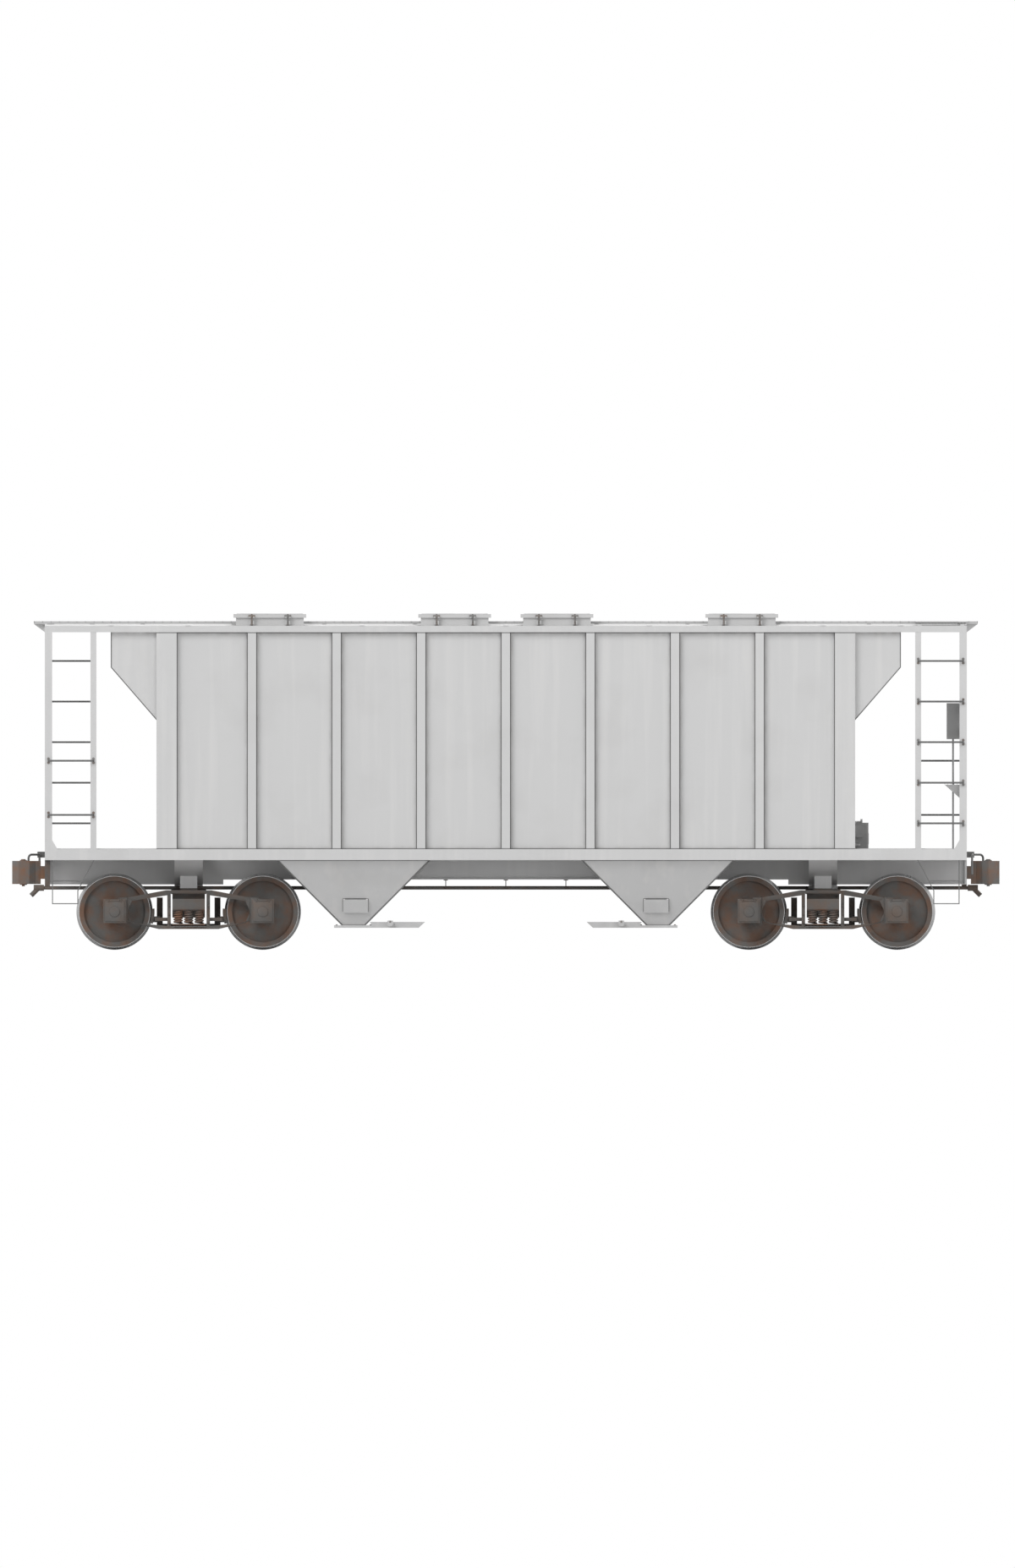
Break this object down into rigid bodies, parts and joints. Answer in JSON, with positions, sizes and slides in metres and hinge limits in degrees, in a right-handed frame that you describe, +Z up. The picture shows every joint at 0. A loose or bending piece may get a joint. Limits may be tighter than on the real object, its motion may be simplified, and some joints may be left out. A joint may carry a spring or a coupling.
{
  "type": "covered hopper car",
  "caption": "Short railway covered hopper car for bulk cement, with side posts, roof hatches, slide gates and four-wheel trucks.",
  "frame": {"origin": "middle of the car on its centre line, at the wheel flange tips, 25.4 mm below the rail head", "axes": "+X along the car to the hand brake end, +Y to the left side, +Z up"},
  "size_m": [11.506, 3.142, 3.9182],
  "materials": {
    "body_paint": "satin light grey paint, dusty",
    "hatch_paint": "satin light grey paint, cement dust",
    "grating_steel": "galvanised grating",
    "rung_steel": "dark grey paint, worn",
    "coupler_steel": "rusty cast steel",
    "brake_gear_paint": "satin grey paint",
    "outlet_steel": "satin grey paint, worn",
    "gate_steel": "scraped steel plate",
    "truck_castings": "weathered cast steel",
    "spring_steel": "rusty spring steel",
    "wheel_steel": "rolled steel, bright on the tread"
  },
  "bodies": {
    "car_body": {"side_sheet_left": "body_paint", "side_sheet_right": "body_paint", "side_posts_left": "body_paint", "side_posts_right": "body_paint", "side_sills": "body_paint", "top_rails": "body_paint", "roof": "body_paint", "hatch_coamings": "body_paint", "running_board": "grating_steel", "end_slope_a": "body_paint", "end_slope_b": "body_paint", "centre_ridge": "body_paint", "hopper_bay_a": "body_paint", "hopper_bay_b": "body_paint", "outlet_frames": "outlet_steel", "centre_sill": "body_paint", "body_bolsters": "body_paint", "end_sills": "body_paint", "couplers": "coupler_steel", "end_platforms": "body_paint", "corner_posts": "body_paint", "end_posts": "body_paint", "ladders": "rung_steel", "grab_irons": "rung_steel", "sill_steps": "rung_steel", "train_line": "truck_castings", "uncoupling_levers": "rung_steel", "hand_brake_wheel": "brake_gear_paint", "hand_brake_gear": "brake_gear_paint", "brake_step": "grating_steel", "air_reservoir": "brake_gear_paint", "brake_cylinder": "brake_gear_paint", "control_valve": "brake_gear_paint"},
    "hatch_lid_1": {"hatch_lid_1": "hatch_paint"},
    "hatch_lid_2": {"hatch_lid_2": "hatch_paint"},
    "hatch_lid_3": {"hatch_lid_3": "hatch_paint"},
    "hatch_lid_4": {"hatch_lid_4": "hatch_paint"},
    "hatch_lid_5": {"hatch_lid_5": "hatch_paint"},
    "hatch_lid_6": {"hatch_lid_6": "hatch_paint"},
    "hatch_lid_7": {"hatch_lid_7": "hatch_paint"},
    "hatch_lid_8": {"hatch_lid_8": "hatch_paint"},
    "gate_1": {"gate_1": "gate_steel"},
    "gate_2": {"gate_2": "gate_steel"},
    "gate_3": {"gate_3": "gate_steel"},
    "gate_4": {"gate_4": "gate_steel"},
    "truck_a": {"truck_a_side_frames": "truck_castings", "truck_a_bolster": "truck_castings", "truck_a_springs": "spring_steel", "truck_a_brakes": "truck_castings"},
    "wheelset_1": {"wheelset_1": "wheel_steel"},
    "wheelset_2": {"wheelset_2": "wheel_steel"},
    "truck_b": {"truck_b_side_frames": "truck_castings", "truck_b_bolster": "truck_castings", "truck_b_springs": "spring_steel", "truck_b_brakes": "truck_castings"},
    "wheelset_3": {"wheelset_3": "wheel_steel"},
    "wheelset_4": {"wheelset_4": "wheel_steel"}
  },
  "joints": [
    {"name": "hatch_hinge_1", "type": "hinge", "parent": "car_body", "child": "hatch_lid_1", "pos_m": [-2.75, -0.36, 3.8694], "axis": [-1, 0, 0], "range_deg": [0, 100]},
    {"name": "hatch_hinge_2", "type": "hinge", "parent": "car_body", "child": "hatch_lid_2", "pos_m": [-0.596, -0.36, 3.8694], "axis": [-1, 0, 0], "range_deg": [0, 100]},
    {"name": "hatch_hinge_3", "type": "hinge", "parent": "car_body", "child": "hatch_lid_3", "pos_m": [0.596, -0.36, 3.8694], "axis": [-1, 0, 0], "range_deg": [0, 100]},
    {"name": "hatch_hinge_4", "type": "hinge", "parent": "car_body", "child": "hatch_lid_4", "pos_m": [2.75, -0.36, 3.8694], "axis": [-1, 0, 0], "range_deg": [0, 100]},
    {"name": "hatch_hinge_5", "type": "hinge", "parent": "car_body", "child": "hatch_lid_5", "pos_m": [-2.75, 0.36, 3.8694], "axis": [1, 0, 0], "range_deg": [0, 100]},
    {"name": "hatch_hinge_6", "type": "hinge", "parent": "car_body", "child": "hatch_lid_6", "pos_m": [-0.596, 0.36, 3.8694], "axis": [1, 0, 0], "range_deg": [0, 100]},
    {"name": "hatch_hinge_7", "type": "hinge", "parent": "car_body", "child": "hatch_lid_7", "pos_m": [0.596, 0.36, 3.8694], "axis": [1, 0, 0], "range_deg": [0, 100]},
    {"name": "hatch_hinge_8", "type": "hinge", "parent": "car_body", "child": "hatch_lid_8", "pos_m": [2.75, 0.36, 3.8694], "axis": [1, 0, 0], "range_deg": [0, 100]},
    {"name": "gate_slide_1", "type": "slide", "parent": "car_body", "child": "gate_1", "axis": [1, 0, 0], "range_m": [0, 0.27]},
    {"name": "gate_slide_2", "type": "slide", "parent": "car_body", "child": "gate_2", "axis": [1, 0, 0], "range_m": [0, 0.27]},
    {"name": "gate_slide_3", "type": "slide", "parent": "car_body", "child": "gate_3", "axis": [-1, 0, 0], "range_m": [0, 0.27]},
    {"name": "gate_slide_4", "type": "slide", "parent": "car_body", "child": "gate_4", "axis": [-1, 0, 0], "range_m": [0, 0.27]},
    {"name": "truck_a_swivel", "type": "hinge", "parent": "car_body", "child": "truck_a", "pos_m": [-3.696, 0, 0.6794], "axis": [0, 0, 1], "range_deg": [-6, 6]},
    {"name": "wheelset_1_roll", "type": "hinge", "parent": "truck_a", "child": "wheelset_1", "pos_m": [-4.5595, 0, 0.4444], "axis": [0, 1, 0], "continuous": true},
    {"name": "wheelset_2_roll", "type": "hinge", "parent": "truck_a", "child": "wheelset_2", "pos_m": [-2.8325, 0, 0.4444], "axis": [0, 1, 0], "continuous": true},
    {"name": "truck_b_swivel", "type": "hinge", "parent": "car_body", "child": "truck_b", "pos_m": [3.696, 0, 0.6794], "axis": [0, 0, 1], "range_deg": [-6, 6]},
    {"name": "wheelset_3_roll", "type": "hinge", "parent": "truck_b", "child": "wheelset_3", "pos_m": [2.8325, 0, 0.4444], "axis": [0, 1, 0], "continuous": true},
    {"name": "wheelset_4_roll", "type": "hinge", "parent": "truck_b", "child": "wheelset_4", "pos_m": [4.5595, 0, 0.4444], "axis": [0, 1, 0], "continuous": true}
  ]
}
